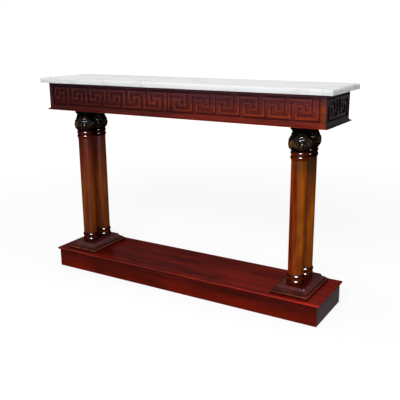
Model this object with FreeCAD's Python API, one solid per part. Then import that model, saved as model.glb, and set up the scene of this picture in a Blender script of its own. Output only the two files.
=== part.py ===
import FreeCAD, Part
import os

from FreeCAD import Vector

# A narrow pier table: a hollow platform base, two moulded plinths, four turned
# columns with carved capitals, a hollow frieze with a raised key pattern, and a
# loose marble slab that lies on top of it.
#
# Millimetres. The origin is on the floor at the middle of the plan. X runs along
# the length, -Y is the front, Z is up.

# ---- Heights, from the floor up ----
base_board_height = 75.0
base_top_thickness = 10.0
plinth_base_thickness = 10.5
plinth_cap_thickness = 19.0
column_height = 570.5
frieze_height = 108.0
marble_thickness = 20.0

# ---- Plan ----
frieze_length = 1180.0
frieze_depth = 233.0
base_end_step = 1.0          # the base stands this far out past the frieze at each end
base_side_step = 3.0         # and this far at the front and the back
base_top_overhang = 7.5
marble_end_overhang = 27.0
marble_side_overhang = 23.0
column_end_inset = 112.0     # from the end of the frieze to the axis of its columns
column_pair_spacing = 85.0   # front axis to back axis
plinth_length = 144.0
plinth_depth = 214.0

# ---- Boards ----
frieze_board_thickness = 18.0
frieze_bottom_thickness = 16.0
base_board_thickness = 16.0
marble_top_rounding = 10.0
marble_bottom_rounding = 2.0
nosing_radius = 4.4
nosing_limit = 0.45          # at most this share of the board's thickness

# ---- Moulding round the foot of the frieze ----
moulding_projection = 8.5
moulding_height = 8.5
moulding_lip_height = 3.0
moulding_hollow = 1.4

# ---- Key pattern: a flat band in a sunk field ----
field_sink = 5.0             # how far the field is sunk into the board
field_top_margin = 10.5
field_front_stile = 18.0     # plain board at each end of the long fields
field_side_stile = 6.5       # and at each edge of the short ones
fret_thickness = 4.4
fret_band_width = 9.8
fret_row_step = 9.5          # between two grid lines of the pattern, upwards
fret_edge_margin = 5.5       # ground left above and below the band
fret_end_margin = 7.0
fret_side_end_margin = 3.0
fret_seam_offset = 4.0       # the first band of the right strip starts left of the middle
fret_seam_step = 14.0        # between the last band of the left strip and that first one
fret_units_per_half = 6

# ---- Columns ----
shaft_radius = 28.6
ring_projection = 3.6
foot_ring_height = 16.4
foot_ring_start = 2.2        # above the plinth
foot_ring_pitch = 19.5
neck_ring_height = 16.4
neck_ring_start = 15.2       # below the capital
head_ring_height = 13.4      # the one that touches the capital
head_ring_start = 0.8
tenon_radius = 13.0
tenon_clearance = 0.2
tenon_bottom_grip = 16.0     # length held in the bearer below the base top
tenon_top_grip = 22.0        # length held in the rail above the frieze bottom

# ---- Capitals ----
capital_height = 89.0
capital_foot_radius = 30.0
capital_belly_radius = 39.0
capital_belly_level = 25.0
capital_waist_radius = 28.5
capital_waist_level = 62.0
capital_lip_radius = 34.5
capital_lip_level = 72.0
capital_lip_rounding = 3.0
capital_shoulder_fullness = 1.5   # beyond midway between the belly and the waist
capital_foot_bow = 2.6
capital_shoulder_bow = 1.6
capital_waist_hollow = 1.0
capital_lip_hollow = 0.8
capital_lip_bow = 0.9
leaf_relief = 2.4
leaf_half_width = 27.0
leaf_foot_level = 8.0
leaf_widest_level = 25.0
leaf_tip_level = 61.0
leaf_turn = 36.0             # from the front round towards the right end
leaf_rib_width = 4.6
leaf_rib_gap = 4.4
leaf_foot_bow = 6.0
leaf_side_bow = 7.5
leaf_tip_fall = 1.5          # by which a leaf's tip drops for each millimetre it is narrowed
bud_radius = 7.0
bud_level = 24.0

# ---- Plinth mouldings ----
plinth_step_inset = 11.0
plinth_step_height = 2.0
plinth_lip_inset = 8.0
plinth_lip_height = 3.0
plinth_top_inset = 23.0
plinth_hollow = 3.0

# ---- Inner framing ----
base_bearer_width = 70.0
base_bearer_height = 30.0
column_rail_width = 80.0
column_rail_height = 30.0
top_bearer_width = 45.0
top_bearer_height = 22.0
top_bearer_spacing = 300.0
housing_depth = 8.0
corner_block_leg = 32.0
frieze_block_height = 60.0
base_block_height = 52.0

# ---- Screws ----
screw_radius = 2.2
screw_head_radius = 4.5
screw_head_top_radius = 3.15
screw_head_height = 2.5
screw_head_bow = 0.4
screw_tip_length = 4.4
screw_slot_width = 1.0
screw_slot_depth = 1.2
screw_clearance = 0.1
plinth_screw_bite = 12.0     # length of a screw in the last piece that it reaches
plinth_screw_gap = 2.5       # between its head and the bearer beside it
plinth_screw_inset = 29.0    # from the front or back edge of the plinth
bearer_screw_bite = 7.0
bearer_screw_inset = 12.5    # from the end of the bearer
rail_screw_bite = 12.0
rail_screw_inset = 13.0      # from the edge of the rail

# ---- Levels and places that follow from the sizes above ----
base_top_z = base_board_height
plinth_z = base_top_z + base_top_thickness
cap_z = plinth_z + plinth_base_thickness
column_z = cap_z + plinth_cap_thickness
frieze_z = column_z + column_height
marble_z = frieze_z + frieze_height
shaft_top_z = frieze_z - capital_height
rail_z = frieze_z + frieze_bottom_thickness

base_length = frieze_length + 2 * base_end_step
base_depth = frieze_depth + 2 * base_side_step
frieze_inner_length = frieze_length - 2 * frieze_board_thickness
frieze_inner_depth = frieze_depth - 2 * frieze_board_thickness
base_inner_depth = base_depth - 2 * base_board_thickness
column_x = frieze_length / 2 - column_end_inset
column_y = column_pair_spacing / 2
sides = {"left": -1, "right": 1}
rows = {"front": -1, "back": 1}

os.makedirs("parts", exist_ok=True)
same_place = 1e-9


def export(shape, name):
    shape.exportStep("parts/" + name + ".step")


def block(length, depth, height, x, y, z):
    """A box centred on x and y that stands on z."""
    corner = Vector(x - length / 2, y - depth / 2, z)
    return Part.makeBox(length, depth, height, corner)


def rod(radius, height, x, y, z):
    return Part.makeCylinder(radius, height, Vector(x, y, z))


def outline(first, *steps):
    """A closed outline in the XZ plane. A step is (x, z), or (x, z, sag) for an arc
    that bows by sag to the left of its direction."""
    edges = []
    here = Vector(first[0], 0, first[1])
    for step in steps + (first[:2],):
        there = Vector(step[0], 0, step[1])
        if (there - here).Length < same_place:
            continue
        if len(step) == 3:
            along = there - here
            left = Vector(-along.z, 0, along.x).normalize()
            middle = (here + there) * 0.5 + left * step[2]
            edges.append(Part.Arc(here, middle, there).toShape())
        else:
            edges.append(Part.makeLine(here, there))
        here = there
    return Part.Wire(edges)


def turned(profile, x, y, z):
    """A solid of revolution about an upright axis through x and y."""
    solid = Part.Face(profile).revolve(Vector(0, 0, 0), Vector(0, 0, 1), 360)
    solid.translate(Vector(x, y, z))
    return solid


def plan_prism(points, z, height):
    corners = [Vector(px, py, z) for px, py in points]
    face = Part.Face(Part.makePolygon(corners + corners[:1]))
    return face.extrude(Vector(0, 0, height))


def round_about(length, depth):
    """The four sides of a rectangle: name, turn about Z, length of the side, and the
    distance across to the opposite side."""
    return (
        ("front", 0, length, depth),
        ("right", 90, depth, length),
        ("back", 180, length, depth),
        ("left", 270, depth, length),
    )


def turn(shape, angle):
    shape.rotate(Vector(0, 0, 0), Vector(0, 0, 1), angle)
    return shape


def mitred_board(run, across, thickness, z, height):
    """A board along the -Y side of a rectangle, with its ends cut to 45 degrees."""
    outer = -across / 2
    inner = outer + thickness
    half = run / 2
    points = ((-half, outer), (half, outer), (half - thickness, inner), (thickness - half, inner))
    return plan_prism(points, z, height)


def side_section(half_width, edge_steps):
    """The upright section of a block whose two edges have the same moulding. A step is
    (inset, z), or (inset, z, sag), read from the bottom to the top."""
    right = [(half_width - step[0],) + tuple(step[1:]) for step in edge_steps]
    left = []
    sag = ()
    for step in reversed(right):
        left.append((-step[0], step[1]) + sag)
        sag = tuple(step[2:])
    return outline(right[0], *right[1:], *left)


def moulded_block(length, depth, edge_steps, x, z):
    """A rectangular block with one moulding mitred round its four edges."""
    along = Part.Face(side_section(length / 2, edge_steps)).extrude(Vector(0, depth, 0))
    along.translate(Vector(0, -depth / 2, 0))
    across = Part.Face(side_section(depth / 2, edge_steps)).extrude(Vector(0, length, 0))
    across.translate(Vector(0, -length / 2, 0))
    solid = along.common(turn(across, 90))
    solid.translate(Vector(x, 0, z))
    return solid


def horizontal_edges(shape, z):
    """The edges of a shape that lie wholly at level z."""
    found = []
    for edge in shape.Edges:
        box = edge.BoundBox
        if abs(box.ZMin - z) < 1e-6 and abs(box.ZMax - z) < 1e-6:
            found.append(edge)
    return found


def screw(x, y, z, length, points_up):
    """A slotted wood screw whose head bears at z, pointing up or down."""
    profile = outline(
        (0, -screw_head_height),
        (screw_head_top_radius, -screw_head_height),
        (screw_head_radius, 0, -screw_head_bow),
        (screw_radius, 0),
        (screw_radius, length - screw_tip_length),
        (0, length),
    )
    solid = turned(profile, 0, 0, 0)
    slot = block(3 * screw_head_radius, screw_slot_width, screw_slot_depth, 0, 0, -screw_head_height)
    solid = solid.cut(slot)
    if not points_up:
        solid.rotate(Vector(0, 0, 0), Vector(1, 0, 0), 180)
    solid.translate(Vector(x, y, z))
    return solid


def screw_hole(x, y, z, height):
    return rod(screw_radius + screw_clearance, height, x, y, z)


# ---- Where the columns and the screws stand ----
column_places = {}
for row, row_sign in rows.items():
    for side, side_sign in sides.items():
        column_places[row + "_" + side] = (side_sign * column_x, row_sign * column_y)

tenon_bottom_z = base_top_z - tenon_bottom_grip
tenon_top_z = rail_z + tenon_top_grip
tenon_holes = []
for place_x, place_y in column_places.values():
    lower = column_z - tenon_bottom_z
    upper = tenon_top_z - shaft_top_z
    hole_radius = tenon_radius + tenon_clearance
    tenon_holes.append(rod(hole_radius, lower, place_x, place_y, tenon_bottom_z))
    tenon_holes.append(rod(hole_radius, upper, place_x, place_y, shaft_top_z))

plinth_screw_length = base_top_thickness + plinth_base_thickness + plinth_screw_bite
plinth_screw_offset_x = base_bearer_width / 2 + plinth_screw_gap + screw_head_radius
plinth_screw_offset_y = plinth_depth / 2 - plinth_screw_inset
bearer_screw_length = base_bearer_height + bearer_screw_bite
bearer_screw_offset_y = base_inner_depth / 2 - bearer_screw_inset
rail_screw_length = column_rail_height + rail_screw_bite
rail_screw_offset_x = column_rail_width / 2 - rail_screw_inset
plinth_screw_places = []
rail_screw_places = []
bearer_screw_places = [(0, bearer_screw_offset_y), (0, -bearer_screw_offset_y)]
for side_sign in sides.values():
    for across in (-1, 1):
        bearer_screw_places.append((side_sign * column_x, across * bearer_screw_offset_y))
        rail_screw_places.append((side_sign * column_x + across * rail_screw_offset_x, 0))
        for along in (-1, 1):
            screw_x = side_sign * column_x + along * plinth_screw_offset_x
            plinth_screw_places.append((screw_x, across * plinth_screw_offset_y))

bearer_screw_z = base_top_z - base_bearer_height
rail_screw_z = rail_z + column_rail_height
screw_holes = []
for place_x, place_y in plinth_screw_places:
    screw_holes.append(screw_hole(place_x, place_y, base_top_z, plinth_screw_length))
for place_x, place_y in bearer_screw_places:
    screw_holes.append(screw_hole(place_x, place_y, bearer_screw_z, bearer_screw_length))
for place_x, place_y in rail_screw_places:
    hole_z = rail_screw_z - rail_screw_length
    screw_holes.append(screw_hole(place_x, place_y, hole_z, rail_screw_length))
bored = Part.makeCompound(tenon_holes + screw_holes)

# ---- Base: four mitred boards, glue blocks, three cross bearers and the nosed top ----
for name, angle, run, across in round_about(base_length, base_depth):
    board = mitred_board(run, across, base_board_thickness, 0, base_board_height)
    export(turn(board, angle), "base_" + name)

base_blocks = []
frieze_blocks = []
for x_sign in (-1, 1):
    for y_sign in (-1, 1):
        inner_x = x_sign * (base_length / 2 - base_board_thickness)
        inner_y = y_sign * base_inner_depth / 2
        points = (
            (inner_x, inner_y),
            (inner_x - x_sign * corner_block_leg, inner_y),
            (inner_x, inner_y - y_sign * corner_block_leg),
        )
        base_blocks.append(plan_prism(points, base_top_z - base_block_height, base_block_height))
        inner_x = x_sign * frieze_inner_length / 2
        inner_y = y_sign * frieze_inner_depth / 2
        points = (
            (inner_x, inner_y),
            (inner_x - x_sign * corner_block_leg, inner_y),
            (inner_x, inner_y - y_sign * corner_block_leg),
        )
        frieze_blocks.append(plan_prism(points, rail_z, frieze_block_height))
export(Part.makeCompound(base_blocks), "base_corner_blocks")
export(Part.makeCompound(frieze_blocks), "frieze_corner_blocks")

for name, bearer_x in (("left", -column_x), ("middle", 0), ("right", column_x)):
    bearer = block(base_bearer_width, base_inner_depth, base_bearer_height, bearer_x, 0, bearer_screw_z)
    export(bearer.cut(bored), "base_bearer_" + name)

base_top_length = base_length + 2 * base_top_overhang
base_top_depth = base_depth + 2 * base_top_overhang
base_top = block(base_top_length, base_top_depth, base_top_thickness, 0, 0, base_top_z)
nosing = min(nosing_radius, nosing_limit * base_top_thickness)
nosed_edges = horizontal_edges(base_top, base_top_z) + horizontal_edges(base_top, plinth_z)
base_top = base_top.makeFillet(nosing, nosed_edges)
export(base_top.cut(bored), "base_top")

# ---- Plinths: under each pair of columns a round-edged board and a hollow-moulded cap ----
half_round = plinth_base_thickness / 2
bead_steps = ((half_round, 0), (half_round, plinth_base_thickness, -half_round))
lip_foot = plinth_step_height
lip_top = plinth_step_height + plinth_lip_height
cap_steps = (
    (plinth_step_inset, 0),
    (plinth_step_inset, lip_foot),
    (plinth_lip_inset, lip_foot),
    (plinth_lip_inset, lip_top),
    (plinth_top_inset, plinth_cap_thickness, plinth_hollow),
)
for side, side_sign in sides.items():
    plinth_base = moulded_block(plinth_length, plinth_depth, bead_steps, side_sign * column_x, plinth_z)
    export(plinth_base.cut(bored), "plinth_base_" + side)
    plinth_cap = moulded_block(plinth_length, plinth_depth, cap_steps, side_sign * column_x, cap_z)
    export(plinth_cap.cut(bored), "plinth_cap_" + side)

# ---- Columns: one turning each, with two rings at either end and a long tenon at both ----
shaft_length = shaft_top_z - column_z
ring_spans = (
    (foot_ring_start, foot_ring_height),
    (foot_ring_start + foot_ring_pitch, foot_ring_height),
    (shaft_length - neck_ring_start - neck_ring_height, neck_ring_height),
    (shaft_length - head_ring_start - head_ring_height, head_ring_height),
)
shaft_steps = [
    (tenon_radius, tenon_bottom_z - column_z),
    (tenon_radius, 0),
    (shaft_radius, 0),
]
for start, height in ring_spans:
    shaft_steps.append((shaft_radius, start))
    shaft_steps.append((shaft_radius, start + height, -ring_projection))
shaft_steps += [
    (shaft_radius, shaft_length),
    (tenon_radius, shaft_length),
    (tenon_radius, tenon_top_z - column_z),
    (0, tenon_top_z - column_z),
]
shaft_profile = outline((0, tenon_bottom_z - column_z), *shaft_steps)
for place, (place_x, place_y) in column_places.items():
    export(turned(shaft_profile, place_x, place_y, column_z), "column_" + place)


# ---- Capitals: a turned belly with four carved leaves, under a round lip ----
def capital_profile(extra):
    """Half the section of the turned body, with extra wood on the radius of its belly."""
    shoulder_level = (capital_belly_level + capital_waist_level) / 2
    shoulder_radius = (capital_belly_radius + capital_waist_radius) / 2 + capital_shoulder_fullness
    lip_side = capital_lip_level + capital_lip_rounding
    return outline(
        (0, 0),
        (capital_foot_radius + extra, 0),
        (capital_belly_radius + extra, capital_belly_level, -capital_foot_bow),
        (shoulder_radius + extra, shoulder_level, -capital_shoulder_bow),
        (capital_waist_radius + extra, capital_waist_level, capital_waist_hollow),
        (capital_lip_radius - capital_lip_rounding, capital_lip_level, capital_lip_hollow),
        (capital_lip_radius, lip_side, -capital_lip_bow),
        (capital_lip_radius, capital_height),
        (0, capital_height),
    )


def leaf_prism(shrink):
    """A pointed leaf seen from the front, cut right through the belly along +Y."""
    half = leaf_half_width - shrink
    foot = leaf_foot_level + shrink
    tip = leaf_tip_level - leaf_tip_fall * shrink
    foot_bow = leaf_foot_bow * half / leaf_half_width
    side_bow = leaf_side_bow * half / leaf_half_width
    shape = outline(
        (0, foot),
        (half, leaf_widest_level, -foot_bow),
        (0, tip, -side_bow),
        (-half, leaf_widest_level, -side_bow),
        (0, foot, -foot_bow),
    )
    return Part.Face(shape).extrude(Vector(0, -2 * capital_belly_radius, 0))


body = turned(capital_profile(0), 0, 0, 0)
wood_for_leaves = turned(capital_profile(leaf_relief), 0, 0, 0)
rib_step = leaf_rib_width + leaf_rib_gap
leaf = leaf_prism(0).cut(leaf_prism(leaf_rib_width))
leaf = leaf.fuse(leaf_prism(rib_step).cut(leaf_prism(rib_step + leaf_rib_width)))
leaf = leaf.common(wood_for_leaves)
bud = Part.makeSphere(bud_radius, Vector(0, leaf_relief - capital_belly_radius, bud_level))
carved = [body]
for quarter in range(4):
    for piece in (leaf, bud):
        carved.append(turn(piece.copy(), leaf_turn + 90 * quarter))
capital = carved[0].multiFuse(carved[1:])
capital = capital.cut(rod(tenon_radius + tenon_clearance, capital_height, 0, 0, 0))
for place, (place_x, place_y) in column_places.items():
    placed = capital.copy()
    placed.translate(Vector(place_x, place_y, shaft_top_z))
    export(placed, "capital_" + place)

# ---- Frieze: mitred boards with a sunk field in three of them, standing round a bottom ----
field_height = 6 * fret_row_step + fret_band_width + 2 * fret_edge_margin
field_z = marble_z - field_top_margin - field_height
field_stiles = {"front": field_front_stile, "left": field_side_stile, "right": field_side_stile}

bearer_places = {"left": -top_bearer_spacing, "middle": 0, "right": top_bearer_spacing}
top_bearer_z = marble_z - top_bearer_height
top_bearer_length = frieze_inner_depth + 2 * housing_depth
top_bearers = {}
for name, bearer_x in bearer_places.items():
    top_bearers[name] = block(top_bearer_width, top_bearer_length, top_bearer_height, bearer_x, 0, top_bearer_z)
    export(top_bearers[name], "top_bearer_" + name)
housings = Part.makeCompound(list(top_bearers.values()))

for name, angle, run, across in round_about(frieze_length, frieze_depth):
    board = mitred_board(run, across, frieze_board_thickness, frieze_z, frieze_height)
    if name in field_stiles:
        field_length = run - 2 * field_stiles[name]
        field_y = (field_sink - across) / 2
        board = board.cut(block(field_length, field_sink, field_height, 0, field_y, field_z))
    board = turn(board, angle).cut(housings)
    export(board, "frieze_" + name)

frieze_bottom = block(frieze_inner_length, frieze_inner_depth, frieze_bottom_thickness, 0, 0, frieze_z)
export(frieze_bottom.cut(bored), "frieze_bottom")
for side, side_sign in sides.items():
    rail = block(column_rail_width, frieze_inner_depth, column_rail_height, side_sign * column_x, 0, rail_z)
    export(rail.cut(bored), "column_rail_" + side)

# ---- Moulding: four hollow strips mitred round the foot of the frieze ----
for name, angle, run, across in round_about(frieze_length, frieze_depth):
    strip_length = run + 2 * moulding_projection
    face_y = -across / 2
    lip_y = face_y - moulding_projection
    section = outline(
        (face_y, 0),
        (face_y, moulding_height),
        (lip_y, moulding_lip_height, moulding_hollow),
        (lip_y, 0),
    )
    strip = Part.Face(section).extrude(Vector(0, strip_length, 0))
    strip.translate(Vector(0, -strip_length / 2, frieze_z))
    mitred_across = across + 2 * moulding_projection
    mitre = mitred_board(strip_length, mitred_across, moulding_projection, frieze_z, moulding_height)
    strip = turn(strip, 90).common(mitre)
    export(turn(strip, angle), "moulding_" + name)

# ---- Key fret: one band that turns back on itself, laid in the sunk fields ----
fret_turns = ((0, 6), (6, 0), (0, -4), (-2, 0), (0, 2), (-2, 0), (0, -4), (6, 0))
fret_unit_columns = 8
fret_rows = 6


def fret_runs(units, step):
    """The straight runs of a band of whole units, each as a pair of corners."""
    runs = []
    here = (0, 0)
    for _ in range(units):
        for across, up in fret_turns:
            there = (here[0] + across, here[1] + up)
            runs.append((here, there))
            here = there
    runs.append((here, (here[0], fret_rows)))
    placed = []
    for start, end in runs:
        low = (min(start[0], end[0]) * step, min(start[1], end[1]) * fret_row_step)
        high = (max(start[0], end[0]) * step, max(start[1], end[1]) * fret_row_step)
        placed.append((low, high))
    return placed


def fret_band(runs):
    """A flat band on the XZ plane, fret_thickness deep along +Y."""
    half = fret_band_width / 2
    bars = []
    for low, high in runs:
        corner = Vector(low[0] - half, 0, low[1] - half)
        width = high[0] - low[0] + fret_band_width
        height = high[1] - low[1] + fret_band_width
        bars.append(Part.makeBox(width, fret_thickness, height, corner))
    return bars[0].multiFuse(bars[1:]).removeSplitter()


half_field = frieze_length / 2 - field_front_stile
fret_reach = half_field - fret_end_margin - fret_band_width / 2
front_columns = fret_unit_columns * fret_units_per_half
front_step = (fret_reach + fret_seam_offset) / front_columns
fret_z = field_z + fret_edge_margin + fret_band_width / 2
fret_y = field_sink - frieze_depth / 2 - fret_thickness
front_band = fret_band(fret_runs(fret_units_per_half, front_step))

right_fret = front_band.copy()
right_fret.translate(Vector(-fret_seam_offset, fret_y, fret_z))
export(right_fret, "fret_front_right")

# The left strip is the same band turned top to bottom, cut off short at its outer end.
left_fret = front_band.mirror(Vector(0, 0, fret_rows * fret_row_step / 2), Vector(0, 0, 1))
left_start = -fret_seam_offset - fret_seam_step - front_columns * front_step
left_fret.translate(Vector(left_start, fret_y, fret_z))
kept_length = fret_reach + fret_band_width / 2
left_fret = left_fret.common(block(kept_length, frieze_depth, frieze_height, -kept_length / 2, 0, frieze_z))
export(left_fret, "fret_front_left")

# Each end has one unit and its mirror image, which share the upright in the middle.
side_reach = frieze_depth / 2 - field_side_stile - fret_side_end_margin - fret_band_width / 2
side_step = side_reach / fret_unit_columns
unit_runs = fret_runs(1, side_step)
mirrored_runs = []
for low, high in unit_runs:
    mirrored_runs.append(((2 * side_reach - high[0], low[1]), (2 * side_reach - low[0], high[1])))
side_band = fret_band(unit_runs + mirrored_runs)
side_band.translate(Vector(-side_reach, field_sink - frieze_length / 2 - fret_thickness, fret_z))
export(turn(side_band.copy(), 90), "fret_right")
export(turn(side_band.copy(), -90), "fret_left")

# ---- Screws ----
plinth_screws = [screw(sx, sy, base_top_z, plinth_screw_length, True) for sx, sy in plinth_screw_places]
export(Part.makeCompound(plinth_screws), "plinth_screws")
bearer_screws = [screw(sx, sy, bearer_screw_z, bearer_screw_length, True) for sx, sy in bearer_screw_places]
export(Part.makeCompound(bearer_screws), "bearer_screws")
rail_screws = [screw(sx, sy, rail_screw_z, rail_screw_length, False) for sx, sy in rail_screw_places]
export(Part.makeCompound(rail_screws), "rail_screws")

# ---- Marble: one slab whose upper edge is rounded over, held by its own weight ----
marble_length = frieze_length + 2 * marble_end_overhang
marble_depth = frieze_depth + 2 * marble_side_overhang
marble = block(marble_length, marble_depth, marble_thickness, 0, 0, marble_z)
marble = marble.makeFillet(marble_top_rounding, horizontal_edges(marble, marble_z + marble_thickness))
marble = marble.makeFillet(marble_bottom_rounding, horizontal_edges(marble, marble_z))
export(marble, "marble_top")
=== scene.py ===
import math

import bmesh
import bpy
from mathutils import Matrix, Vector


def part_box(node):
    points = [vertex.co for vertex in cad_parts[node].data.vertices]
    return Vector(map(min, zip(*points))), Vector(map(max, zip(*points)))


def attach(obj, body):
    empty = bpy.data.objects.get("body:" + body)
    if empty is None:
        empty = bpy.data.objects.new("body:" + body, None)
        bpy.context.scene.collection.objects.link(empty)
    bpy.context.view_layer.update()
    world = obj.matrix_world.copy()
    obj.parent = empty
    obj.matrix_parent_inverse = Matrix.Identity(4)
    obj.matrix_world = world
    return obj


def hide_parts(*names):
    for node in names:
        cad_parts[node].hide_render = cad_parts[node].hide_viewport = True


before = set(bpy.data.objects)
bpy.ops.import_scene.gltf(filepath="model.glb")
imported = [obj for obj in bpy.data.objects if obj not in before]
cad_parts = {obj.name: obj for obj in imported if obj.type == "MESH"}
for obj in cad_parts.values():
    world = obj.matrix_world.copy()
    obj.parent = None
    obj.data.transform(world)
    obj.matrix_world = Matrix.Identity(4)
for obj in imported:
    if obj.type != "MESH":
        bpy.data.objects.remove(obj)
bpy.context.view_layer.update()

scene = bpy.context.scene


# ---------------------------------------------------------------------------
# The studio. A camera at standing height in front and to the right of the
# table, a pale floor that fades into a white room, a broad soft lamp in front,
# a weaker one overhead, and a bluish one to the right that only gloss shows.
# ---------------------------------------------------------------------------
camera_place = Vector((1.2374, -1.9529, 0.9828))
camera_yaw = math.radians(31.201)
camera_pitch = math.radians(15.377)
camera_roll = math.radians(-0.480)

camera_data = bpy.data.cameras.new("camera")
camera_data.sensor_width = 36.0
camera_data.lens = 54.70
camera = bpy.data.objects.new("camera", camera_data)
scene.collection.objects.link(camera)
scene.camera = camera
ahead = Vector((
    -math.sin(camera_yaw) * math.cos(camera_pitch),
    math.cos(camera_yaw) * math.cos(camera_pitch),
    -math.sin(camera_pitch),
))
level = Vector((math.cos(camera_yaw), math.sin(camera_yaw), 0.0))
above = level.cross(ahead)
rightward = math.cos(camera_roll) * level + math.sin(camera_roll) * above
upward = math.cos(camera_roll) * above - math.sin(camera_roll) * level
turned_camera = Matrix((rightward, upward, -ahead)).transposed().to_4x4()
camera.matrix_world = Matrix.Translation(camera_place) @ turned_camera
scene.view_settings.view_transform = "Standard"


def feed(tree, node, inputs):
    """Gives each named input of a node a socket to follow or a value; a colour has no alpha."""
    for name, value in inputs.items():
        socket = node.inputs[name]
        if isinstance(value, bpy.types.NodeSocket):
            tree.links.new(value, socket)
        elif socket.type == "RGBA":
            socket.default_value = (*value, 1.0)
        else:
            socket.default_value = value


def new_node(tree, kind, inputs=None, **settings):
    """A node with its settings made and its inputs fed."""
    node = tree.nodes.new(kind)
    for word, value in settings.items():
        setattr(node, word, value)
    feed(tree, node, inputs or {})
    return node


def maths(tree, operation, *values, clamp=False):
    """A Math node on sockets and numbers."""
    node = new_node(tree, "ShaderNodeMath", dict(enumerate(values)), operation=operation, use_clamp=clamp)
    return node.outputs[0]


def seen_directly(tree):
    """A value of 1 for rays from the camera, in a gloss or through glass, and 0 for others."""
    rays = new_node(tree, "ShaderNodeLightPath").outputs
    seen = maths(tree, "ADD", rays["Is Camera Ray"], rays["Is Glossy Ray"], clamp=True)
    return maths(tree, "ADD", seen, rays["Is Transmission Ray"], clamp=True)


sky_strength = 0.26
white = (1.0, 1.0, 1.0)
world = bpy.data.worlds.new("white_room")
scene.world = world
world.use_nodes = True
sky = world.node_tree
sky.nodes.clear()
soft_light = new_node(sky, "ShaderNodeBackground", {"Color": white, "Strength": sky_strength})
white_room = new_node(sky, "ShaderNodeBackground", {"Color": white, "Strength": 1.0})
room_sides = {0: seen_directly(sky), 1: soft_light.outputs[0], 2: white_room.outputs[0]}
room_mix = new_node(sky, "ShaderNodeMixShader", room_sides)
new_node(sky, "ShaderNodeOutputWorld", {"Surface": room_mix.outputs[0]})

daylight = (0.97, 0.985, 1.0)
clear_blue = (0.76, 0.86, 1.0)
for lamp_name, colour, place, target, width, height, watts in (
    ("window_lamp", daylight, (0.95, -3.00, 2.50), (0.0, 0.0, 0.40), 1.6, 1.2, 83.0),
    ("ceiling_lamp", daylight, (0.0, -0.20, 3.20), (0.0, 0.0, 0.60), 2.2, 1.2, 20.0),
    ("glint_lamp", clear_blue, (2.05, -2.55, 1.70), (0.2, 0.0, 0.45), 1.40, 1.00, 680.0),
):
    lamp_data = bpy.data.lights.new(lamp_name, "AREA")
    lamp_data.shape = "RECTANGLE"
    lamp_data.size = width
    lamp_data.size_y = height
    lamp_data.energy = watts
    lamp_data.color = colour
    lamp = bpy.data.objects.new(lamp_name, lamp_data)
    scene.collection.objects.link(lamp)
    lamp.location = place
    toward = Vector(target) - Vector(place)
    lamp.rotation_euler = toward.to_track_quat("-Z", "Y").to_euler()
    lamp.visible_glossy = lamp_name == "glint_lamp"
    lamp.visible_diffuse = lamp_name != "glint_lamp"

floor_half = 14.0
floor_drop = -0.0004
floor_signs = ((-1, -1), (1, -1), (1, 1), (-1, 1))
floor_corners = [(floor_half * x, floor_half * y, floor_drop) for x, y in floor_signs]
floor_mesh = bpy.data.meshes.new("floor")
floor_mesh.from_pydata(floor_corners, [], [(0, 1, 2, 3)])
floor = bpy.data.objects.new("floor", floor_mesh)
scene.collection.objects.link(floor)

bounce_grey = (0.80, 0.80, 0.80)
shadow_grey = (0.22, 0.22, 0.22)
floor_paint = bpy.data.materials.new("floor_paint")
floor_paint.use_nodes = True
paint = floor_paint.node_tree
paint.nodes.clear()
plain = new_node(paint, "ShaderNodeBsdfDiffuse", {"Color": bounce_grey})
shaded = new_node(paint, "ShaderNodeBsdfDiffuse", {"Color": shadow_grey})
floor_place = new_node(paint, "ShaderNodeTexCoord").outputs["Object"]
from_table = new_node(paint, "ShaderNodeVectorMath", {0: floor_place}, operation="LENGTH").outputs["Value"]
fade_limits = {"Value": from_table, "From Min": 0.9, "From Max": 4.5, "To Min": 0.84, "To Max": 1.0}
fade = new_node(paint, "ShaderNodeMapRange", fade_limits, interpolation_type="SMOOTHSTEP")
glow = new_node(paint, "ShaderNodeEmission", {"Strength": fade.outputs["Result"]})
lit_floor = new_node(paint, "ShaderNodeAddShader", {0: shaded.outputs[0], 1: glow.outputs[0]})
floor_sides = {0: seen_directly(paint), 1: plain.outputs[0], 2: lit_floor.outputs[0]}
floor_mix = new_node(paint, "ShaderNodeMixShader", floor_sides)
new_node(paint, "ShaderNodeOutputMaterial", {"Surface": floor_mix.outputs[0]})
floor_mesh.materials.append(floor_paint)


# ---------------------------------------------------------------------------
# Base boards. Four mahogany boards, mitred and glued at the corners, stand on
# edge on the floor. Their long edges are eased by a stroke of the plane, and
# they are stained red and polished.
# ---------------------------------------------------------------------------
def new_group(name, tree_kind, inputs, outputs):
    """A node group, what it is given and its output node; a socket is (name, kind, default or nothing)."""
    group = bpy.data.node_groups.new(name, tree_kind)
    for side, sockets in (("INPUT", inputs), ("OUTPUT", outputs)):
        for word, kind, *default in sockets:
            socket = group.interface.new_socket(name=word, in_out=side, socket_type="NodeSocket" + kind)
            if default:
                socket.default_value = default[0]
    given = group.nodes.new("NodeGroupInput")
    return group, given.outputs, group.nodes.new("NodeGroupOutput")


def times(tree, first, *others):
    """The product of sockets and numbers."""
    for other in others:
        first = maths(tree, "MULTIPLY", first, other)
    return first


def rest_of(tree, value):
    """What a value leaves of 1."""
    return maths(tree, "SUBTRACT", 1.0, value)


def blend_colour(tree, mode, amount, first, second):
    """A Mix node for colours; amount and the colours are sockets or values."""
    sides = {0: amount, 6: first, 7: second}
    return new_node(tree, "ShaderNodeMix", sides, data_type="RGBA", blend_type=mode).outputs[2]


def own_place(tree):
    """Where a point lies on its piece."""
    return new_node(tree, "ShaderNodeTexCoord").outputs["Object"]


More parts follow.
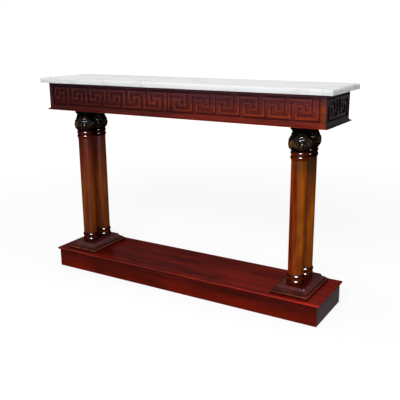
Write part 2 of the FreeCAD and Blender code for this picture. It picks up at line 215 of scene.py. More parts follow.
def stretched_noise(tree, vector, stretch, detail, distortion=0.0):
    """Noise drawn out along X: stretch is how many waves a metre holds each way."""
    stretched = new_node(tree, "ShaderNodeMapping", {"Vector": vector, "Scale": stretch}).outputs[0]
    noise = {"Vector": stretched, "Scale": 1.0, "Detail": detail, "Distortion": distortion}
    return new_node(tree, "ShaderNodeTexNoise", noise).outputs["Fac"]


def cloudy_noise(tree, stretch):
    """Soft noise fixed in the piece, for what took unevenly over it."""
    return stretched_noise(tree, own_place(tree), stretch, 2.0)


def sharpened(tree, value, low, high):
    """A value stretched so that low becomes 0 and high becomes 1."""
    limits = {"Value": value, "From Min": low, "From Max": high}
    return new_node(tree, "ShaderNodeMapRange", limits, interpolation_type="SMOOTHSTEP").outputs["Result"]


def along(tree, axis):
    """A point's own place along X, Y or Z."""
    return new_node(tree, "ShaderNodeSeparateXYZ", {0: own_place(tree)}).outputs[axis]


def between(tree, axis, start, end):
    """0 where a point's place along an axis is start, and 1 where it is end."""
    return sharpened(tree, along(tree, axis), start, end)


def tinted(material, mask, tint, mode="MULTIPLY"):
    """Multiplies a finish by a tint, adds it or lays it over, wherever the mask is 1."""
    tree = material.node_tree
    colour = tree.nodes["Principled BSDF"].inputs["Base Color"]
    changed = blend_colour(tree, mode, mask, colour.links[0].from_socket, tint)
    tree.links.new(changed, colour)


def build_grain():
    """Figured wood whose grain runs along X of the vector it is given."""
    group, given, result = new_group("wood_grain", "ShaderNodeTree", (
        ("Vector", "Vector"),
        ("Dark", "Color", (0.05, 0.01, 0.005, 1.0)),
        ("Light", "Color", (0.20, 0.06, 0.02, 1.0)),
        ("Figure", "Float", 0.6),
        ("Pores", "Float", 0.5),
    ), (("Color", "Color"), ("Roughness", "Float"), ("Height", "Float")))
    vector = given["Vector"]
    ribbon = stretched_noise(group, vector, (1.3, 26.0, 26.0), 3.0, 0.9)
    flame = stretched_noise(group, vector, (2.6, 9.0, 9.0), 4.0, 2.2)
    streaks = stretched_noise(group, vector, (7.0, 260.0, 260.0), 4.0, 0.2)
    pores = stretched_noise(group, vector, (55.0, 1050.0, 1050.0), 1.0)
    blotch = stretched_noise(group, vector, (5.0, 7.0, 7.0), 2.0)
    broad = maths(group, "ADD", times(group, ribbon, 0.55), times(group, flame, 0.45))
    figure = sharpened(group, broad, 0.36, 0.66)
    fine = sharpened(group, streaks, 0.30, 0.70)
    tone = maths(group, "ADD", times(group, figure, given["Figure"]), times(group, fine, 0.32), clamp=True)
    colour = blend_colour(group, "MIX", tone, given["Dark"], given["Light"])
    depth = times(group, sharpened(group, pores, 0.60, 0.70), given["Pores"])
    worn = sharpened(group, blotch, 0.35, 0.75)
    rough = maths(group, "ADD", times(group, worn, 0.16), times(group, depth, 0.20))
    feed(group, result, {
        "Color": blend_colour(group, "MULTIPLY", times(group, depth, 0.75), colour, (0.18, 0.10, 0.08)),
        "Roughness": maths(group, "ADD", rough, 0.24),
        "Height": maths(group, "SUBTRACT", times(group, fine, 0.25), depth),
    })
    return group


def build_edge_wear():
    """A mask of 1 where an edge is rubbed, broken up by noise, and 0 on the flats."""
    group, given, result = new_group("edge_wear", "ShaderNodeTree", (
        ("Vector", "Vector"), ("Reach", "Float", 0.0012), ("Amount", "Float", 0.6),
    ), (("Mask", "Float"),))
    rounded = new_node(group, "ShaderNodeBevel", {"Radius": given["Reach"]}, samples=6).outputs[0]
    normal = new_node(group, "ShaderNodeNewGeometry").outputs["Normal"]
    facing = new_node(group, "ShaderNodeVectorMath", {0: rounded, 1: normal}, operation="DOT_PRODUCT")
    edge = sharpened(group, rest_of(group, facing.outputs["Value"]), 0.01, 0.14)
    patches = stretched_noise(group, given["Vector"], (45.0, 45.0, 45.0), 3.0)
    worn = times(group, edge, sharpened(group, patches, 0.38, 0.66))
    feed(group, result, {"Mask": maths(group, "MULTIPLY", worn, given["Amount"], clamp=True)})
    return group


def build_dust_and_shade():
    """A mask of 1 deep in a corner or a groove, where old polish and dust darken the wood and where shade is
    painted in.
    """
    group, given, result = new_group("corner_dust_and_painted_shade", "ShaderNodeTree", (
        ("Reach", "Float", 0.006), ("Amount", "Float", 0.8),
    ), (("Mask", "Float"),))
    open_sky = new_node(group, "ShaderNodeAmbientOcclusion", {"Distance": given["Reach"]}, samples=6)
    closed = sharpened(group, rest_of(group, open_sky.outputs["AO"]), 0.10, 0.62)
    feed(group, result, {"Mask": maths(group, "MULTIPLY", closed, given["Amount"], clamp=True)})
    return group


grain_group = build_grain()
edge_group = build_edge_wear()
dust_and_shade_group = build_dust_and_shade()
quarter_turn = math.pi / 2
grain_turn = {"X": (0.0, 0.0, 0.0), "Y": (0.0, 0.0, -quarter_turn), "Z": (0.0, quarter_turn, 0.0)}


def new_finish(name):
    """A new material, its tree and its shader."""
    material = bpy.data.materials.new(name)
    material.use_nodes = True
    return material, material.node_tree, material.node_tree.nodes["Principled BSDF"]


def gloss_film(tree, strength, fall):
    """Polish that is full where it is seen squarely and thins out towards a slanting look."""
    slant = new_node(tree, "ShaderNodeLayerWeight", {"Blend": 0.5}).outputs["Facing"]
    square = maths(tree, "POWER", rest_of(tree, slant), fall)
    return maths(tree, "MULTIPLY", strength, square, clamp=True)


def polished_wood(name, dark, light, run, figure=0.6, pores=0.5, coat=0.3, coat_blur=0.06, fall=2.0,
                  wear=0.5, dust_and_shade=0.8, dust_and_shade_reach=0.006, shift=(0.0, 0.0, 0.0)):
    """Stained and polished wood with its grain along X, Y or Z."""
    material, tree, shader = new_finish(name)
    laid = {"Vector": own_place(tree), "Rotation": grain_turn[run], "Location": shift}
    run_way = new_node(tree, "ShaderNodeMapping", laid).outputs[0]
    stained = {"Vector": run_way, "Dark": dark, "Light": light, "Figure": figure, "Pores": pores}
    grain = new_node(tree, "ShaderNodeGroup", stained, node_tree=grain_group).outputs
    handled = {"Vector": run_way, "Amount": wear}
    edge = new_node(tree, "ShaderNodeGroup", handled, node_tree=edge_group).outputs["Mask"]
    # Dust and painted shade: corners and grooves are darkened and lose their polish.
    dust_and_shade_settings = {"Amount": dust_and_shade, "Reach": dust_and_shade_reach}
    corner = new_node(tree, "ShaderNodeGroup", dust_and_shade_settings, node_tree=dust_and_shade_group).outputs["Mask"]
    rubbed = tuple(min(1.0, 1.6 * part + 0.004) for part in light)
    soiled_and_shaded = tuple(0.12 * part for part in dark)
    colour = blend_colour(tree, "MIX", edge, grain["Color"], rubbed)
    rough = maths(tree, "ADD", grain["Roughness"], times(tree, edge, 0.15))
    bump = new_node(tree, "ShaderNodeBump", {"Height": grain["Height"], "Strength": 0.25, "Distance": 0.0004})
    film = times(tree, maths(tree, "SUBTRACT", 1.25, rough), coat, rest_of(tree, corner))
    feed(tree, shader, {
        "Base Color": blend_colour(tree, "MIX", corner, colour, soiled_and_shaded),
        "Roughness": rough,
        "Normal": bump.outputs[0],
        "Coat Weight": gloss_film(tree, film, fall),
        "Coat Roughness": coat_blur,
        "Specular IOR Level": 0.0,
    })
    return material


def ease_edges(piece, width, segments, angle):
    """Takes off the edges sharper than an angle in degrees, and leaves the piece a plain mesh."""
    bevel = piece.modifiers.new("ease", "BEVEL")
    bevel.width = width
    bevel.segments = segments
    bevel.limit_method = "ANGLE"
    bevel.angle_limit = math.radians(angle)
    bevel.harden_normals = True
    bpy.context.view_layer.update()
    made = bpy.data.meshes.new_from_object(piece.evaluated_get(bpy.context.evaluated_depsgraph_get()))
    piece.modifiers.clear()
    piece.data = made
    made.name = piece.name


def stand_for(piece, node, material, body="table_frame"):
    """Gives a finished piece its material and body, in place of a CAD node."""
    piece.data.materials.clear()
    piece.data.materials.append(material)
    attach(piece, body)
    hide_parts(node)


def eased_board(node, ease, material):
    """A copy of a board with its sharp edges taken off by ease metres."""
    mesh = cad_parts[node].data.copy()
    shape = bmesh.new()
    shape.from_mesh(mesh)
    bmesh.ops.remove_doubles(shape, verts=shape.verts, dist=1e-6)
    bmesh.ops.dissolve_limit(shape, angle_limit=math.radians(1.0), verts=shape.verts, edges=shape.edges)
    shape.to_mesh(mesh)
    shape.free()
    if "custom_normal" in mesh.attributes:
        mesh.attributes.remove(mesh.attributes["custom_normal"])
    mesh.shade_smooth()
    board = bpy.data.objects.new(node + "_eased", mesh)
    scene.collection.objects.link(board)
    ease_edges(board, ease, segments=3, angle=25.0)
    stand_for(board, node, material)


base_ease = 0.0010
foot_levels = (0.062, 0.012)
base_long = polished_wood("base_mahogany_long", (0.034, 0.0024, 0.0014), (0.130, 0.0085, 0.0038), "X",
                          coat=0.10)
base_tree = base_long.node_tree
# Painted light: the long boards are lighter and more orange towards their foot, as if lit from the floor.
patchy = sharpened(base_tree, cloudy_noise(base_tree, (4.0, 8.0, 8.0)), 0.28, 0.55)
painted_lit_foot = times(base_tree, between(base_tree, "Z", *foot_levels), patchy)
tinted(base_long, painted_lit_foot, (1.75, 1.30, 0.35))
# Painted shade and painted reflection: the end boards are the same mahogany, coloured darker and bluer as if
# in shade and mirroring a grey sky.
base_shaded_ends = polished_wood("base_mahogany_shaded_ends", (0.015, 0.0040, 0.0050), (0.060, 0.0130, 0.0170), "Y",
                           coat=0.17, coat_blur=0.12, fall=0.0, shift=(0.3, 0.1, 0.2))
base_woods = {"front": base_long, "back": base_long, "left": base_shaded_ends, "right": base_shaded_ends}
for side, material in base_woods.items():
    eased_board("base_" + side, base_ease, material)


# ---------------------------------------------------------------------------
# What the base hides: three cross bearers under its top and a glue block in
# each corner, sawn and planed from plain pale wood and left bare, and the
# slotted steel screws that hold them.
# ---------------------------------------------------------------------------
def bare_wood(name, run):
    """Planed pale wood with no polish."""
    material = polished_wood(name, (0.30, 0.17, 0.08), (0.52, 0.35, 0.19), run, figure=0.5, pores=0.3,
                             coat=0.0, wear=0.3, dust_and_shade=0.3)
    material.node_tree.nodes["Principled BSDF"].inputs["Specular IOR Level"].default_value = 0.2
    return material


def finish_nodes(material, *nodes):
    """Gives CAD nodes that are right as they are their real finish."""
    for node in nodes:
        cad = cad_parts[node]
        cad.data.materials.clear()
        cad.data.materials.append(material)


bare_cross = bare_wood("bare_wood_cross", "Y")
bare_upright = bare_wood("bare_wood_upright", "Z")
finish_nodes(bare_cross, "base_bearer_left", "base_bearer_middle", "base_bearer_right")
finish_nodes(bare_upright, "base_corner_blocks")

screw_steel, steel, steel_shader = new_finish("screw_steel")
tarnish = stretched_noise(steel, own_place(steel), (180.0, 180.0, 180.0), 4.0)
tarnish = sharpened(steel, tarnish, 0.3, 0.7)
feed(steel, steel_shader, {
    "Metallic": 1.0,
    "Base Color": blend_colour(steel, "MIX", tarnish, (0.20, 0.17, 0.14), (0.42, 0.41, 0.39)),
    "Roughness": maths(steel, "SUBTRACT", 0.62, times(steel, tarnish, 0.25)),
})
finish_nodes(screw_steel, "plinth_screws", "bearer_screws", "rail_screws")


# ---------------------------------------------------------------------------
# Base top. One broad mahogany board with a half-round nose worked on all four
# edges, glued over the base boards and polished until it mirrors the columns.
# ---------------------------------------------------------------------------
def rounded_loop(half_x, half_y, radius, steps):
    """Points round a rectangle with round corners, steps pieces to each corner."""
    points = []
    for corner, (sign_x, sign_y) in enumerate(((1, 1), (-1, 1), (-1, -1), (1, -1))):
        for step in range(steps + 1):
            angle = quarter_turn * (corner + step / steps)
            x = sign_x * (half_x - radius) + radius * math.cos(angle)
            y = sign_y * (half_y - radius) + radius * math.sin(angle)
            points.append((x, y))
    return points


def skin(shape, rings):
    """Faces from each ring of points to the next one up; a ring of one point is a pole."""
    for low, high in zip(rings, rings[1:]):
        count = max(len(low), len(high))
        for i in range(count):
            j = (i + 1) % count
            if len(low) == 1:
                shape.faces.new((low[0], high[j], high[i]))
            elif len(high) == 1:
                shape.faces.new((low[i], low[j], high[0]))
            else:
                shape.faces.new((low[i], low[j], high[j], high[i]))


def cap_ends(shape, rings):
    """One flat face in the lowest ring and one in the highest."""
    shape.faces.new(list(reversed(rings[0])))
    shape.faces.new(rings[-1])


def piece_of(shape, name, crease):
    """A smooth piece of a finished shape, left sharp at edges over crease degrees."""
    mesh = bpy.data.meshes.new(name)
    shape.to_mesh(mesh)
    shape.free()
    mesh.shade_smooth()
    mesh.set_sharp_from_angle(angle=math.radians(crease))
    piece = bpy.data.objects.new(name, mesh)
    scene.collection.objects.link(piece)
    return piece


sharpest_corner = 0.0005


def moulded_slab(name, node, profile, radius, steps):
    """A slab in a CAD node's place with one moulding run round its edge. The profile is (inset,
    height) from the bottom to the top, and its corners have the radius at inset 0."""
    low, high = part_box(node)
    middle_x = (low.x + high.x) / 2
    half_x = (high.x - low.x) / 2
    shape = bmesh.new()
    rings = []
    for inset, height in profile:
        corner = max(radius - inset, sharpest_corner)
        loop = rounded_loop(half_x - inset, high.y - inset, corner, steps)
        rings.append([shape.verts.new((middle_x + x, y, low.z + height)) for x, y in loop])
    skin(shape, rings)
    cap_ends(shape, rings)
    return piece_of(shape, name, crease=32.0)


def arc(start, end, sag, pieces):
    """Points on an arc from start (not given) to end, bowed by sag to the left."""
    (x0, z0), (x1, z1) = start, end
    chord = math.hypot(x1 - x0, z1 - z0)
    left_x, left_z = (z0 - z1) / chord, (x1 - x0) / chord
    radius = (chord * chord / 4 + sag * sag) / (2 * abs(sag))
    half_turn = math.asin(min(1.0, chord / 2 / radius))
    points = []
    for i in range(1, pieces + 1):
        swing = half_turn * (2 * i / pieces - 1)
        share = radius * math.sin(swing) / chord + 0.5
        lift = math.copysign(radius * math.cos(swing) - radius + abs(sag), sag)
        points.append((x0 + (x1 - x0) * share + left_x * lift, z0 + (z1 - z0) * share + left_z * lift))
    return points


def round_nose(depth, thickness, pieces):
    """The profile of an edge rounded over its whole thickness."""
    return [(depth, 0.0)] + arc((depth, 0.0), (depth, thickness), depth, pieces)


def thickness_of(node):
    """How thick a flat node is."""
    low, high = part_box(node)
    return high.z - low.z


def turned_to(tree, axis, low, high):
    """0 where the surface's normal along an axis is low, and 1 where it is high."""
    normal = new_node(tree, "ShaderNodeNewGeometry").outputs["Normal"]
    split = new_node(tree, "ShaderNodeSeparateXYZ", {0: normal})
    return sharpened(tree, split.outputs[axis], low, high)


def painted_light_drift(material, left_tint, right_tint):
    """Painted light along X: tints for the left and the right end of the table, for light and sheen that fall
    unevenly across it.
    """
    tree = material.node_tree
    cloudy = times(tree, cloudy_noise(tree, (3.0, 6.0, 6.0)), 0.5)
    rightward = sharpened(tree, maths(tree, "ADD", along(tree, "X"), cloudy), -0.45, 0.90)
    tinted(material, 1.0, blend_colour(tree, "MIX", rightward, left_tint, right_tint))


nose_depth = 0.0042
board_corner = 0.0012
corner_steps = 3
curve_pieces = 14
nose = round_nose(nose_depth, thickness_of("base_top"), curve_pieces)
base_top = moulded_slab("base_top_board", "base_top", nose, board_corner, corner_steps)
top_board = polished_wood("base_mahogany_top", (0.062, 0.0032, 0.0022), (0.280, 0.0120, 0.0060), "X",
                          figure=0.7, coat=0.38, coat_blur=0.18, shift=(0.7, 0.35, 0.0))
# Painted light: the top darker and bluer to the left, warmer to the right.
painted_light_drift(top_board, (0.74, 0.90, 1.0), (1.05, 1.0, 0.70))
nose_tree = top_board.node_tree
# Painted highlight: the front-facing side of the nose is made lighter and more orange, broken by noise.
painted_nose_highlight = maths(nose_tree, "ADD", 0.45, cloudy_noise(nose_tree, (6.0, 8.0, 8.0)), clamp=True)
painted_nose_highlight = times(nose_tree, painted_nose_highlight, turned_to(nose_tree, "Y", -0.30, -0.75))
tinted(top_board, painted_nose_highlight, (1.85, 1.80, 1.40))
stand_for(base_top, "base_top", top_board)


# ---------------------------------------------------------------------------
# Plinths. Under each pair of columns lies a board with a half-round edge, and
# on it a block with a hollow worked down its four sides to a thin lip. Both
# are mahogany, glued and screwed from below.
# ---------------------------------------------------------------------------
plinth_wood = polished_wood("plinth_mahogany", (0.028, 0.0026, 0.0030), (0.120, 0.0100, 0.0090), "Y",
                            coat=0.80, coat_blur=0.16, wear=0.7, shift=(0.0, 0.6, 0.1))
# Painted sheen: the left plinth greyer and bluer, the right one warmer.
painted_light_drift(plinth_wood, (1.05, 2.00, 2.00), (1.15, 0.95, 0.85))
# Painted light: the round edge is the same mahogany as the cap, coloured lighter and more orange as if lit.
lit_round_edge_wood = polished_wood("plinth_mahogany_lit_edge", (0.050, 0.0070, 0.0030), (0.240, 0.0450, 0.0150),
                                "Y", coat=0.5, coat_blur=0.16, wear=0.7, shift=(0.4, 0.2, 0.3))
quirk_depth = 0.0030
quirk_height = 0.0020
lip_level = 0.0050
lip_ease = 0.0003
arris_ease = 0.0004
hollow_sag = 0.0030
hollow_inset = 0.0148
top_inset = 0.0155
lip_profile = [
    (quirk_depth + arris_ease, 0.0), (quirk_depth, arris_ease), (quirk_depth, quirk_height),
    (lip_ease, quirk_height), (0.0, quirk_height + lip_ease), (0.0, lip_level - lip_ease),
    (arris_ease, lip_level),
]
cap_corner = 0.0010
bead_pieces = 16
for side in ("left", "right"):
    node = "plinth_base_" + side
    thickness = thickness_of(node)
    bead = round_nose(thickness / 2, thickness, bead_pieces)
    board = moulded_slab("plinth_round_edge_" + side, node, bead, board_corner, corner_steps)
    stand_for(board, node, lit_round_edge_wood)

    node = "plinth_cap_" + side
    thickness = thickness_of(node)
    hollow = arc(lip_profile[-1], (hollow_inset, thickness - lip_ease), -hollow_sag, curve_pieces)
    moulding = lip_profile + hollow + [(top_inset, thickness)]
    cap = moulded_slab("plinth_hollow_cap_" + side, node, moulding, cap_corner, corner_steps)
    stand_for(cap, node, plinth_wood)


# ---------------------------------------------------------------------------
# Columns. Each is one turning of figured mahogany between a tenon at its foot
# and one at its head, with two beads at both ends of the shaft.
# ---------------------------------------------------------------------------
def middle_of(node):
    """X and Y of a node's upright axis, and its lowest and highest level."""
    low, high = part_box(node)
    return (low.x + high.x) / 2, (low.y + high.y) / 2, low.z, high.z


def lathe(name, x, y, profile, segments):
    """A turned piece: profile is (radius, height), and starts and ends on the axis."""
    shape = bmesh.new()
    rings = []
    for radius, height in profile:
        ring = []
        for i in range(segments if radius > 0.0 else 1):
            angle = 2 * math.pi * i / segments
            ring.append(shape.verts.new((x + radius * math.cos(angle), y + radius * math.sin(angle), height)))
        rings.append(ring)
    skin(shape, rings)
    return piece_of(shape, name, crease=40.0)


shaft_radius = 0.0286
tenon_radius = 0.013
bead_swell = 0.0036
foot_beads = ((0.0022, 0.0164), (0.0217, 0.0164))
head_beads = ((0.0316, 0.0164), (0.0142, 0.0134))
column_segments = 96
places = tuple((row, side) for row in ("front", "back") for side in ("left", "right"))

red_stain_and_shade = (0.80, 0.42, 0.90)
column_tones = {
    "left": ((0.065, 0.0078, 0.0009), (0.285, 0.0580, 0.0028)),
    "right": ((0.122, 0.0158, 0.0010), (0.465, 0.1180, 0.0030)),
}
shaft_gloss = {"left": 0.20, "right": 0.11}
left_red_levels = (0.48, 0.66)
right_red_reach = (0.502, 0.482)
between_rows = (-0.01, 0.01)
front_shade_levels = (0.500, 0.560)
front_shade = (0.55, 0.70, 1.60)
back_shade_levels = (0.380, 0.570)
back_shade = {"left": (0.46, 0.58, 1.00), "right": (0.20, 0.30, 0.90)}


def shaft_finish(side):
    """Wood of the shafts, with painted shade under the capitals, deepest on the back pair, and painted shade
    that reddens one side.
    """
    dark_tone, light_tone = column_tones[side]
    wood = polished_wood("column_mahogany_" + side, dark_tone, light_tone, "Z", figure=0.75, pores=0.6,
                         coat=shaft_gloss[side], coat_blur=0.34, wear=0.2, dust_and_shade=0.9)
    tree = wood.node_tree
    # Painted shade: the left shafts redder and darker towards their top, the right shafts along their left
    # flank.
    ragged = times(tree, cloudy_noise(tree, (70.0, 70.0, 6.0)), 0.24)
    if side == "left":
        shaded_redder = sharpened(tree, maths(tree, "ADD", along(tree, "Z"), ragged), *left_red_levels)
    else:
        across = maths(tree, "ADD", along(tree, "X"), times(tree, ragged, 0.10))
        shaded_redder = sharpened(tree, across, *right_red_reach)
    tinted(wood, shaded_redder, red_stain_and_shade)
    back_row = between(tree, "Y", *between_rows)
    for row, levels, tint in (
        (rest_of(tree, back_row), front_shade_levels, front_shade),
        (back_row, back_shade_levels, back_shade[side]),
    ):
        tinted(wood, times(tree, between(tree, "Z", *levels), row), tint)
    return wood


def polish_only(material, mask):
    """Keeps a finish's gloss only where the mask is 1."""
    tree = material.node_tree
    weight = tree.nodes["Principled BSDF"].inputs["Coat Weight"]
    tree.links.new(times(tree, weight.links[0].from_socket, mask), weight)


def bead_finish(name, side, shade, gloss=1.0):
    """Wood of the beads: darker than the shaft, with the gloss on their upper shoulders and a painted dark
    reflection there.
    """
    dark_tone = tuple(shade * part for part in column_tones[side][0])
    light_tone = tuple(0.8 * shade * part for part in column_tones[side][1])
    wood = polished_wood(name, dark_tone, light_tone, "Z", figure=0.6, pores=0.3, coat=gloss,
                         coat_blur=0.17, fall=14.0, wear=0.2, dust_and_shade=0.95)
    shoulder = turned_to(wood.node_tree, "Z", 0.0, 0.25)
    polish_only(wood, shoulder)
    # Painted dark reflection: the upper shoulders are darkened to near black around their gloss.
    tinted(wood, times(wood.node_tree, shoulder, 0.7), (0.016, 0.0030, 0.0045), "MIX")
    tinted(wood, 1.0, red_stain_and_shade)
    return wood


shaft_woods = {side: shaft_finish(side) for side in column_tones}
foot_bead_woods = {side: bead_finish("column_foot_beads_" + side, side, 0.60) for side in column_tones}
# Painted shade: the back row's head beads are made nearly black and less glossy, as they lie in shade under
# the capitals.
head_bead_shade = {"front": 0.70, "back": 0.12}
head_bead_gloss = {"front": 1.0, "back": 0.30}
for row, side in places:
    place = row + "_" + side
    axis_x, axis_y, tenon_foot, tenon_head = middle_of("column_" + place)
    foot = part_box("plinth_cap_" + side)[1].z
    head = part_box("capital_" + place)[0].z
    beads = [(foot + start, height) for start, height in foot_beads]
    beads += [(head - start, height) for start, height in head_beads]
    outline = [(0.0, tenon_foot), (tenon_radius, tenon_foot), (tenon_radius, foot), (shaft_radius, foot)]
    for start, height in beads:
        outline.append((shaft_radius, start))
        outline += arc((shaft_radius, start), (shaft_radius, start + height), -bead_swell, curve_pieces)
    outline += [(shaft_radius, head), (tenon_radius, head), (tenon_radius, tenon_head), (0.0, tenon_head)]
    column = lathe("column_shaft_" + place, axis_x, axis_y, outline, column_segments)
    stand_for(column, "column_" + place, shaft_woods[side])
    column.data.materials.append(foot_bead_woods[side])
    head_wood = bead_finish("column_head_beads_" + place, side, head_bead_shade[row], head_bead_gloss[row])
    column.data.materials.append(head_wood)
    for face in column.data.polygons:
        if any(start < face.center.z < start + height for start, height in beads):
            face.material_index = 1 if face.center.z < (foot + head) / 2 else 2


# ---------------------------------------------------------------------------
# Capitals. A turned belly is carved with four leaves, rounded rib inside rib
# about a bud, and runs up through a waist to a round lip. It is stained nearly
# black, and the tops of the ribs are rubbed brown. That brown is painted light
# as well: strongest on ribs that face left, and kept off ribs that face up.
# ---------------------------------------------------------------------------
capital_segments = 360
capital_foot_radius = 0.0300
capital_turns = (
    (0.03900, 0.0250, -0.0026, 34),
    (0.03525, 0.0435, -0.0016, 30),
    (0.02850, 0.0620, 0.0010, 28),
    (0.03150, 0.0720, 0.0008, 10),
    (0.03450, 0.0750, -0.0009, 8),
    (0.03450, 0.0884, 0.0, 1),
    (0.03390, 0.0890, 0.0, 1),
)
leaf_turns = {"left": math.radians(41.0), "right": math.radians(31.0)}
leaf_half_width = 0.0310
leaf_foot = 0.0075
leaf_widest = 0.0250
leaf_tip = 0.0620
leaf_overshoot = 1.06
leaf_fullness = 1.8
rib_shells = ((0.94, 0.090, 0.0024), (0.70, 0.085, 0.0024), (0.46, 0.080, 0.0020))
groove_shells = ((0.82, 0.070, 0.0012), (0.58, 0.070, 0.0014), (1.07, 0.080, 0.0010))
dish_shell = 0.37
dish_slope = 0.08
dish_depth = 0.0016
bud_radius = 0.0075
bud_level = 0.0245
bud_sunk = 0.0046
plain_foot = 0.003
relief_span = 0.0050
crown_level = 0.0360
crown_reach = (0.0115, 0.0200)


def belly_profile():
    """The turned outline of a capital, as (radius, height) from its foot. Each of its turns
    runs to a (radius, height), with a sag and a number of pieces."""
    points = [(capital_foot_radius, 0.0)]
    for radius, height, sag, pieces in capital_turns:
        points += arc(points[-1], (radius, height), sag, pieces) if sag else [(radius, height)]
    return points


def rib(distance, half_width):
    """A rounded ridge: 1 at its middle, 0 at half_width away."""
    if abs(distance) >= half_width:
        return 0.0
    return math.cos(distance / half_width * quarter_turn)


def carving(across, height):
    """How far the carved surface stands off the turned one, in metres."""
    if height > leaf_tip * leaf_overshoot:
        return 0.0
    rise = height - leaf_widest
    reach = leaf_tip - leaf_widest if rise > 0 else leaf_widest - leaf_foot
    sideways = (abs(across) / leaf_half_width) ** leaf_fullness
    shell = (sideways + abs(rise / reach) ** leaf_fullness) ** (1 / leaf_fullness)
    lift = sum(top * rib(shell - middle, half) for middle, half, top in rib_shells)
    lift -= sum(depth * rib(shell - middle, half) for middle, half, depth in groove_shells)
    if shell < dish_shell:
        lift -= dish_depth * min(1.0, (dish_shell - shell) / dish_slope)
    bud = math.hypot(across, height - bud_level)
    if bud < bud_radius:
        lift = max(lift, math.sqrt(bud_radius * bud_radius - bud * bud) - bud_sunk)
    return lift * min(1.0, height / plain_foot)


capital_wood, carved, carved_shader = new_finish("capital_dark_wood")
upright_grain = {"Vector": own_place(carved), "Rotation": grain_turn["Z"]}
upright_way = new_node(carved, "ShaderNodeMapping", upright_grain).outputs[0]
near_black = {"Vector": upright_way, "Dark": (0.0016, 0.0017, 0.0018), "Light": (0.0065, 0.0045, 0.0034)}
carved_grain = new_node(carved, "ShaderNodeGroup", near_black, node_tree=grain_group).outputs
carved_corner = new_node(carved, "ShaderNodeGroup", node_tree=dust_and_shade_group).outputs["Mask"]
relief = new_node(carved, "ShaderNodeAttribute", attribute_name="relief").outputs["Fac"]
crown = new_node(carved, "ShaderNodeAttribute", attribute_name="crown").outputs["Fac"]
upper_side = turned_to(carved, "Z", 0.10, 0.42)
rub_noise = sharpened(carved, stretched_noise(carved, upright_way, (60.0, 60.0, 60.0), 3.0), 0.30, 0.62)
# Rubbed brown on the rib tops, with painted light: strongest on ribs that face left, nearly none on ribs that
# face up.
rubbed_and_lit_top = times(carved, sharpened(carved, relief, 0.52, 0.86), rub_noise)
rubbed_and_lit_top = times(carved, rubbed_and_lit_top, rest_of(carved, times(carved, upper_side, 0.9)))
painted_lit_side = maths(carved, "ADD", 0.18, times(carved, turned_to(carved, "X", 0.50, 0.0), 0.70))
rubbed_and_lit_top = times(carved, rubbed_and_lit_top, painted_lit_side)
carved_film = times(carved, sharpened(carved, relief, 0.10, 0.60), upper_side, crown)
carved_film = times(carved, rest_of(carved, carved_corner), maths(carved, "ADD", carved_film, 0.012))
carved_bump = {"Height": carved_grain["Height"], "Strength": 0.30, "Distance": 0.0005}
feed(carved, carved_shader, {
    "Base Color": blend_colour(carved, "MIX", rubbed_and_lit_top, carved_grain["Color"], (0.290, 0.135, 0.036)),
    "Roughness": maths(carved, "ADD", carved_grain["Roughness"], 0.02),
    "Normal": new_node(carved, "ShaderNodeBump", carved_bump).outputs[0],
    "Coat Weight": gloss_film(carved, carved_film, fall=5.0),
    "Coat Roughness": 0.26,
    "Coat IOR": 2.0,
    "Specular IOR Level": 0.0,
})

for row, side in places:
    place = row + "_" + side
    axis_x, axis_y, foot, _ = middle_of("capital_" + place)
    shape = bmesh.new()
    relief_layer = shape.verts.layers.float.new("relief")
    crown_layer = shape.verts.layers.float.new("crown")
    rings = []
    for radius, height in belly_profile():
        ring = []
        for i in range(capital_segments):
            angle = 2 * math.pi * i / capital_segments
            from_leaf = (angle - leaf_turns[side] + math.pi / 4) % quarter_turn - math.pi / 4
            across = from_leaf * radius
            lift = carving(across, height)
            x = axis_x + (radius + lift) * math.cos(angle)
            y = axis_y + (radius + lift) * math.sin(angle)
            vertex = shape.verts.new((x, y, foot + height))
            vertex[relief_layer] = 0.5 + lift / relief_span
            off_crown = math.hypot(across / crown_reach[0], (height - crown_level) / crown_reach[1])
            vertex[crown_layer] = max(0.0, 1.0 - off_crown ** 4)
            ring.append(vertex)
        rings.append(ring)
    skin(shape, rings)
    cap_ends(shape, rings)
    capital = piece_of(shape, "capital_carved_" + place, crease=60.0)
    stand_for(capital, "capital_" + place, capital_wood)


# ---------------------------------------------------------------------------
# Frieze. Four mitred mahogany boards stand round a thick bottom board, and the
# front and the ends have a field sunk in them for the key band. The rails that
# hold the columns, the marble's bearers and the glue blocks inside are bare.
# ---------------------------------------------------------------------------
frieze_ease = 0.0007
frieze_foot = 0.690
frieze_head = 0.790
frieze_shadow_foot = 0.735
painted_bounce_top = 0.716
frieze_dim_reach = (-0.45, 0.10)
stile_reach = (0.560, 0.575)
stile_shadow = (0.755, 0.785)


def painted_slab_shadow(material):
    """Painted light on the frieze: a painted shadow under the slab, darker and bluer at its head; a touch
    lighter along its foot, as if lit from the floor; and a painted bluish sheen that grows towards the head
    and the right.
    """
    tree = material.node_tree
    tinted(material, between(tree, "Z", frieze_shadow_foot, frieze_head), (0.60, 0.75, 1.00))
    tinted(material, between(tree, "Z", painted_bounce_top, frieze_foot), (1.06, 1.05, 1.15))
    upward = maths(tree, "ADD", 0.15, times(tree, between(tree, "Z", frieze_foot, frieze_head), 0.85))
    rightward = maths(tree, "ADD", 0.35, times(tree, between(tree, "X", *frieze_dim_reach), 0.65))
    tinted(material, times(tree, upward, rightward), (0.002, 0.009, 0.020), "ADD")


frieze_long = polished_wood("frieze_mahogany_long", (0.034, 0.0036, 0.0030), (0.165, 0.0170, 0.0080), "X",
                            coat=0.22, wear=0.5, dust_and_shade_reach=0.010, shift=(0.2, 0.0, 0.4))
